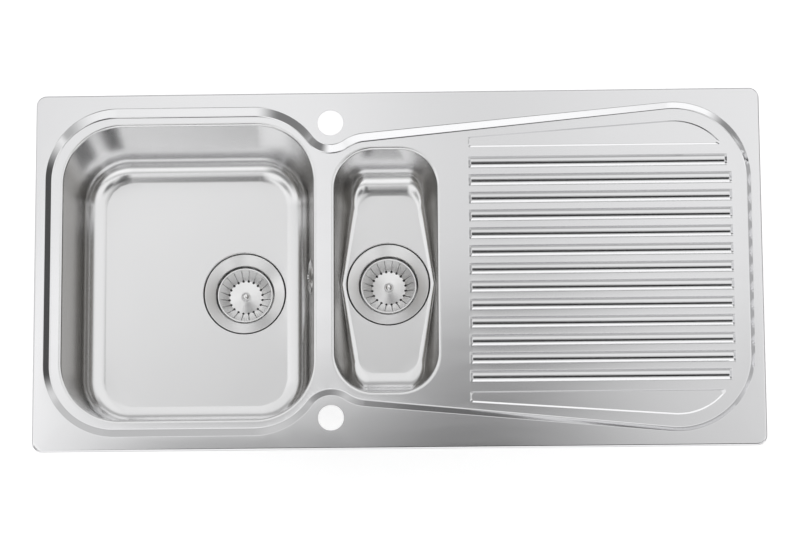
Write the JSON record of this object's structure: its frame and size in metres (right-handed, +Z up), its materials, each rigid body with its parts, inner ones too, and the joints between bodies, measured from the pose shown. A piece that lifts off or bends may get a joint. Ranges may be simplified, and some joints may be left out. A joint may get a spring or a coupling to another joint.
{
  "type": "one and a half bowl kitchen sink",
  "caption": "Inset steel kitchen sink with a main bowl, a half bowl, a ribbed drainer, basket strainer wastes, an overflow, tap holes and swing-out fixing claws.",
  "frame": {"origin": "the middle of the sink, on the worktop's surface under the rim", "axes": "+X towards the drainer end, +Y towards the back, +Z up"},
  "size_m": [1, 0.5, 0.269],
  "materials": {
    "deck_steel": "bright pressed stainless steel, lightly brushed",
    "bowl_steel": "satin stainless steel",
    "waste_steel": "polished stainless steel",
    "zinc": "zinc-plated steel",
    "plastic": "white polypropylene",
    "hose": "grey ribbed plastic hose",
    "rubber": "black rubber",
    "foam": "grey closed-cell foam strip",
    "pad": "sound-deadening mat",
    "brass": "plain brass"
  },
  "bodies": {
    "sink": {"deck": "deck_steel", "main_bowl": "bowl_steel", "half_bowl": "bowl_steel", "worktop_seal": "foam", "overflow_plate": "waste_steel", "overflow_screw": "waste_steel", "overflow_gasket": "rubber", "overflow_elbow": "plastic", "overflow_hose": "hose", "overflow_hose_clips": "zinc", "clip_rail_back": "zinc", "clip_rail_front": "zinc", "clip_brackets": "zinc", "clip_screws": "zinc", "main_pad": "pad", "half_pads": "pad", "drainer_beam": "zinc", "main_flange": "waste_steel", "main_top_gasket": "rubber", "main_lower_gasket": "rubber", "main_waste_body": "plastic", "main_waste_nut": "brass", "main_waste_screw": "waste_steel", "half_flange": "waste_steel", "half_top_gasket": "rubber", "half_lower_gasket": "rubber", "half_waste_body": "plastic", "half_waste_nut": "brass", "half_waste_screw": "waste_steel"},
    "main_strainer": {"main_basket": "waste_steel", "main_knob": "waste_steel", "main_stem": "waste_steel", "main_basket_seal": "rubber"},
    "half_strainer": {"half_basket": "waste_steel", "half_knob": "waste_steel", "half_stem": "waste_steel", "half_basket_seal": "rubber"},
    "claw_back_1": {"clip_claw_back_1": "zinc"},
    "claw_back_2": {"clip_claw_back_2": "zinc"},
    "claw_back_3": {"clip_claw_back_3": "zinc"},
    "claw_back_4": {"clip_claw_back_4": "zinc"},
    "claw_front_1": {"clip_claw_front_1": "zinc"},
    "claw_front_2": {"clip_claw_front_2": "zinc"},
    "claw_front_3": {"clip_claw_front_3": "zinc"},
    "claw_front_4": {"clip_claw_front_4": "zinc"}
  },
  "joints": [
    {"name": "main_strainer_lift", "type": "slide", "parent": "sink", "child": "main_strainer", "axis": [0, 0, 1], "range_m": [0, 0.215]},
    {"name": "half_strainer_lift", "type": "slide", "parent": "sink", "child": "half_strainer", "axis": [0, 0, 1], "range_m": [0, 0.16]},
    {"name": "claw_back_1_swing", "type": "hinge", "parent": "sink", "child": "claw_back_1", "pos_m": [-0.38, 0.22625, -0.045], "axis": [0, 0, 1], "range_deg": [0, 90]},
    {"name": "claw_back_2_swing", "type": "hinge", "parent": "sink", "child": "claw_back_2", "pos_m": [-0.2, 0.22625, -0.045], "axis": [0, 0, 1], "range_deg": [0, 90]},
    {"name": "claw_back_3_swing", "type": "hinge", "parent": "sink", "child": "claw_back_3", "pos_m": [0.12, 0.22625, -0.045], "axis": [0, 0, 1], "range_deg": [0, 90]},
    {"name": "claw_back_4_swing", "type": "hinge", "parent": "sink", "child": "claw_back_4", "pos_m": [0.36, 0.22625, -0.045], "axis": [0, 0, 1], "range_deg": [0, 90]},
    {"name": "claw_front_1_swing", "type": "hinge", "parent": "sink", "child": "claw_front_1", "pos_m": [-0.38, -0.22625, -0.045], "axis": [0, 0, -1], "range_deg": [0, 90]},
    {"name": "claw_front_2_swing", "type": "hinge", "parent": "sink", "child": "claw_front_2", "pos_m": [-0.2, -0.22625, -0.045], "axis": [0, 0, -1], "range_deg": [0, 90]},
    {"name": "claw_front_3_swing", "type": "hinge", "parent": "sink", "child": "claw_front_3", "pos_m": [0.12, -0.22625, -0.045], "axis": [0, 0, -1], "range_deg": [0, 90]},
    {"name": "claw_front_4_swing", "type": "hinge", "parent": "sink", "child": "claw_front_4", "pos_m": [0.36, -0.22625, -0.045], "axis": [0, 0, -1], "range_deg": [0, 90]}
  ]
}
